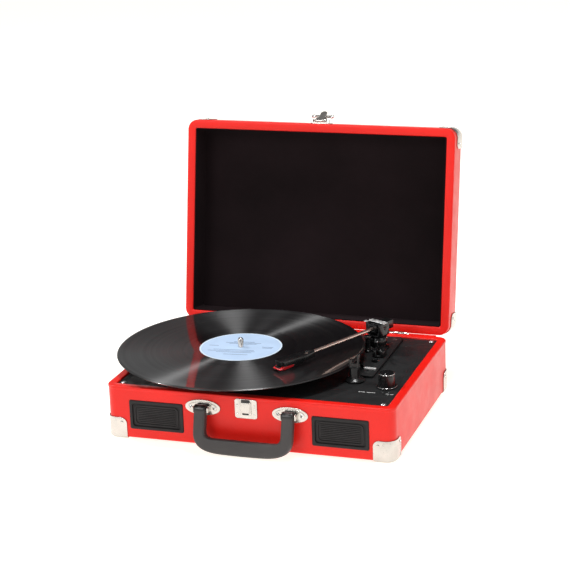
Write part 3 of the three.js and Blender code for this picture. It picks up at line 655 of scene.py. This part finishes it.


# Latch keeper: plate, raised bridge, black blocks as painted shade in the throats above and below it, and
# four rivets

latch_z = centre_of(*box_mm("latch_plate")).z
keeper = prism("latch_plate_fine", [
    (rounded_rect(27, 23.5, 3, 6, 0, latch_z), PLATE_BACK - 1.2, PLATE_BACK),
    (rounded_rect(13.5, 15.5, 1.2, 5, 0, latch_z + 0.8), PLATE_BACK - 2.6, PLATE_BACK),
    (rounded_rect(11, 12, 1.0, 5, 0, latch_z + 1.2), PLATE_BACK - 3.1, PLATE_BACK)],
    NICKEL, "base", "y", bevel=0.35)
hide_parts("latch_plate")
# Black blocks stand for the shade inside the openings above and below the bridge: painted shade.
throat_shade = prism("latch_throat_shade", [
    (rounded_rect(10, 3.4, 0.6, 3, 0, latch_z + 9.4), PLATE_BACK - 2.75, PLATE_BACK),
    (rounded_rect(8, 2.6, 0.6, 3, 0, latch_z - 5.6), PLATE_BACK - 2.8, PLATE_BACK)],
    BLACK, "base", "y", bevel=0.1)
rivets = [(sx * 10.3, PLATE_BACK - 1.1, latch_z + dz) for _, sx in SIDES for dz in (4, -6)]
domes("latch_rivets", rivets, 1.1, 0.6, CHROME, "base")


# Hasp: a waisted leaf with a cross bar and two round ears, folded back over the lid at rest
HASP_Y, HASP_Z, HASP_FOLD = -132.4, 72.5, 148
HASP = LID @ Matrix.Translation((0, HASP_Y, HASP_Z)) @ Matrix.Rotation(math.radians(-HASP_FOLD), 4, "X")
leaf = [(-7.3, -1.5), (-7.3, -5), (-4.2, -8.5), (-4.2, -17)] + arc(0, -17, 4.2, 180, 360, 10) + [
    (4.2, -8.5), (7.3, -5), (7.3, -1.5)]
BAR_Z, BAR_HALF = -11.5, 12
hasp = prism("lid_hasp_fine", [
    (leaf, -1.2, 0.2), (rounded_rect(2 * BAR_HALF, 3.4, 1.6, 5, 0, BAR_Z), -2.4, -0.6)],
    NICKEL, "hasp", "y", HASP, bevel=0.3)
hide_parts("lid_hasp")
roll = prism("lid_hasp_roll", [(disc(0, 0, 1.9), -7.2, 7.2)], NICKEL, "hasp", "x", HASP, bevel=0.3)
bar_ends = [(sx * BAR_HALF, -1.5, BAR_Z) for _, sx in SIDES]
domes("lid_hasp_ears", bar_ends, 2.9, 1.7, CHROME, "hasp", "y", HASP)


# The record: pressed vinyl with a raised lip, a smooth lead-out and a paper label

RECORD_R, LABEL_R, HOLE_R, RECORD_T = 149.5, 50, 3.65, 1.8
GROOVES_TOP, LABEL_TOP = RECORD_T - 0.35, RECORD_T - 0.05
record_at = (PLATTER.x, PLATTER.y, MAT_TOP)
record = lathe("record", [
    (HOLE_R, 0.1), (70, 0.1), (140, 0.25),
    (RECORD_R - 2.5, 0.05), (RECORD_R - 0.5, 0.45), (RECORD_R, 0.95), (RECORD_R - 0.5, 1.5),
    (RECORD_R - 2.2, RECORD_T), (RECORD_R - 4.5, RECORD_T - 0.1), (RECORD_R - 5.6, GROOVES_TOP),
    (60, GROOVES_TOP), (57.5, RECORD_T - 0.3), (53, RECORD_T - 0.2), (LABEL_R + 0.6, RECORD_T - 0.1),
    (LABEL_R, LABEL_TOP), (HOLE_R, LABEL_TOP), (HOLE_R, 0.1)], VINYL, "turntable", record_at, 160, smooth=50)


def paper_ring(name, inner, outer, thick, material):
    section = [(inner, LABEL_TOP), (outer, LABEL_TOP), (outer, LABEL_TOP + thick), (inner, LABEL_TOP + thick),
               (inner, LABEL_TOP)]
    return lathe(name, section, material, "turntable", record_at, 128)


label_rim = paper_ring("record_label_edge", LABEL_R - 2.2, LABEL_R, 0.12, LABEL_EDGE)
label = paper_ring("record_label", HOLE_R, LABEL_R - 2.3, 0.14, LABEL_BLUE)


def label_marks():
    """Plain printed bars where a label carries its lettering."""
    rows = [(10.5, 0, 34), (14.0, 0, 44), (17.5, 0, 26), (-12, -6, 50), (-16.5, -8, 58), (-20.5, -4, 44),
            (-28, 0, 30), (1.5, -34, 12), (1.5, 33, 14), (-2, 33, 12)]
    z = MAT_TOP + LABEL_TOP + 0.12
    turned = Matrix.Translation((PLATTER.x, PLATTER.y, 0)) @ Matrix.Rotation(math.radians(6), 4, "Z")
    bars = [(rounded_rect(w, 1.0, 0.3, 2, x, y), z, z + 0.06) for y, x, w in rows]
    return prism("record_label_marks", bars, INK, "turntable", "z", turned, bevel=0)


# A twelve-inch record comes off before the lid shuts. Each record piece gets a mesh of its own. Here it
# folds to a strip inside the case instead.
for piece in (record, label_rim, label, label_marks()):
    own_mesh(piece)


# Volume knob with two bright rings

knob_low, knob_high = box_mm("volume_knob")
knob = centre_of(knob_low, knob_high)
knob_at = (knob.x, knob.y, 0)
z0, z1 = knob_low.z, knob_high.z
volume = lathe("volume_knob_fine", [
    (0, z0), (11.2, z0), (11.8, z0 + 0.5), (11.6, z0 + 1.6), (9.8, z0 + 2.0), (9.3, z1 - 3.4),
    (9.0, z1 - 3.2), (9.0, z1 - 2.8), (9.3, z1 - 2.6), (9.2, z1 - 0.8), (8.4, z1), (2, z1 - 0.3),
    (0, z1 - 0.3)], BLACK, "volume", knob_at, 64)
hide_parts("volume_knob")
for name, r, z in (("base", 11.75, z0 + 0.9), ("top", 9.2, z1 - 0.9)):
    section = [(r + x, z + y) for x, y in arc(0, 0, 0.42, 0, 360, 12)]
    ring = lathe(f"volume_ring_{name}", section, CHROME, "volume", knob_at, 64)
tick = rounded_rect(0.6, 3.6, 0.25, 3, knob.x, knob.y - 6.2)
pointer = prism("volume_pointer", [(tick, z1 - 0.4, z1 + 0.12)], MARK, "volume", bevel=0)


# Arm: a finer tube, bright caps on the fork, the red stylus holder, and two bright heads on the plate

ARM_R = 2.2
tube = prism("arm_tube_fine", [(disc(0, 0, ARM_R, 48), -128, -2.4)], ROSE, "tonearm", "y", ARM, bevel=0)
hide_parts("arm_tube")
cap = prism("pivot_cap", [
    (rounded_rect(25, 8, 1.2, 4, 0, 1), 6.6, 7.4), (rounded_rect(5, 5, 1, 4, -12.5, -6), 6.6, 7.2)],
    SATIN, "arm_swivel", "z", ARM, bevel=0.25)
HEAD_AT = ARM @ Matrix.Translation((0, -118, 0)) @ Matrix.Rotation(math.radians(-7), 4, "Z")
holder = [(-53, -7.2), (-46, -4.4), (-33, -4.4), (-31, -6.0), (-33, -8.0), (-44, -8.8), (-52.5, -8.8)]
stylus = prism("stylus_holder", [(holder, -6.7, 6.7)], RED_PLASTIC, "tonearm", "x", HEAD_AT, bevel=0.8)
PLATE_TOP = 65.4
heads = [(114, 20, PLATE_TOP), (92, 100, PLATE_TOP)]
domes("plate_screw", heads, 2.6, 1.5, CHROME, "base", "z")


# Printed ticks beside the switches and the knob, in place of words
ticks = [(rounded_rect(w, 0.9, 0.3, 2, x, y), DECK, DECK + 0.05)
         for x, y, w in ((123, -76.5, 8), (133.8, -76.7, 10), (153.5, -77.2, 4), (158.8, -77.4, 4))]
prism("deck_marks", ticks, MARK, "base", bevel=0)


# Floor, light and camera, in metres

FLOOR_R, VIEW_END = 45, 120


def stage_floor():
    """A pale floor that glows a little, as an over-lit white sheet does."""
    mesh = bpy.data.meshes.new("floor")
    bm = bmesh.new()
    bmesh.ops.create_circle(bm, cap_ends=True, segments=96, radius=FLOOR_R)
    bmesh.ops.translate(bm, vec=(0, 0, CAD_LOW.z), verts=bm.verts)
    bm.to_mesh(mesh)
    bm.free()
    floor = bpy.data.objects.new("floor", mesh)
    bpy.context.scene.collection.objects.link(floor)
    n = Nodes("pale_floor")
    n.uniform(Base_Color=(0.5, 0.5, 0.5, 1), Roughness=0.9, Emission_Color=(1, 0.95, 0.86, 1),
              Emission_Strength=0.95)
    mesh.materials.append(n.material)
    floor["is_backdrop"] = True


def area_light(name, at, to, side, power):
    light = bpy.data.lights.new(name, "AREA")
    light.shape = "SQUARE"
    light.size = side
    light.energy = power
    obj = bpy.data.objects.new(name, light)
    obj.location = at
    obj.rotation_euler = (Vector(to) - Vector(at)).to_track_quat("-Z", "Y").to_euler()
    bpy.context.scene.collection.objects.link(obj)


def studio():
    """A dim room above, white round the horizon, and four soft lights."""
    world = bpy.data.worlds.new("studio")
    world.use_nodes = True
    tree = world.node_tree
    split = tree.nodes.new("ShaderNodeSeparateXYZ")
    fade = tree.nodes.new("ShaderNodeMapRange")
    for socket, value in (("From Min", 0.03), ("From Max", 0.2), ("To Min", 1.0), ("To Max", 0.2)):
        fade.inputs[socket].default_value = value
    tree.links.new(tree.nodes.new("ShaderNodeTexCoord").outputs["Generated"], split.inputs["Vector"])
    tree.links.new(split.outputs["Z"], fade.inputs["Value"])
    tree.links.new(fade.outputs["Result"], tree.nodes["Background"].inputs["Strength"])
    tree.nodes["Background"].inputs["Color"].default_value = (1, 1, 1, 1)
    bpy.context.scene.world = world
    bpy.context.scene.view_settings.view_transform = "Standard"
    area_light("front_box", (-0.9, -2.0, 1.5), (0, -0.1, 0.1), 0.8, 17)
    area_light("top_box", (0.1, 0.0, 2.2), (0, 0, 0.1), 0.5, 28)
    area_light("left_spot", (-1.69, 0.29, 2.08), (0, 0, 0.08), 0.12, 28)
    area_light("right_box", (2.2, -0.6, 1.2), (0.1, 0, 0.15), 1.2, 8)


CAMERA = {"azimuth": 19.01, "elevation": 17.04, "roll": -2.02, "distance": 2.1199, "lens": 111.45,
          "target": (0.0019, 0.0181, 0.1538)}


def camera():
    """Looks at the target from the azimuth, elevation and roll that were fitted to the photo."""
    az, el, roll = (math.radians(CAMERA[k]) for k in ("azimuth", "elevation", "roll"))
    forward = Vector((-math.sin(az) * math.cos(el), math.cos(az) * math.cos(el), -math.sin(el)))
    level = Vector((math.cos(az), math.sin(az), 0))
    above = level.cross(forward)
    right = level * math.cos(roll) + above * math.sin(roll)
    up = above * math.cos(roll) - level * math.sin(roll)
    data = bpy.data.cameras.new("camera")
    data.lens = CAMERA["lens"]
    data.sensor_width = 36
    data.clip_end = VIEW_END
    obj = bpy.data.objects.new("camera", data)
    turn = Matrix((right, up, -forward)).transposed().to_4x4()
    obj.matrix_world = Matrix.Translation(Vector(CAMERA["target"]) - forward * CAMERA["distance"]) @ turn
    bpy.context.scene.collection.objects.link(obj)
    bpy.context.scene.camera = obj


stage_floor()
studio()
camera()

bpy.context.view_layer.update()
low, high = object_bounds()
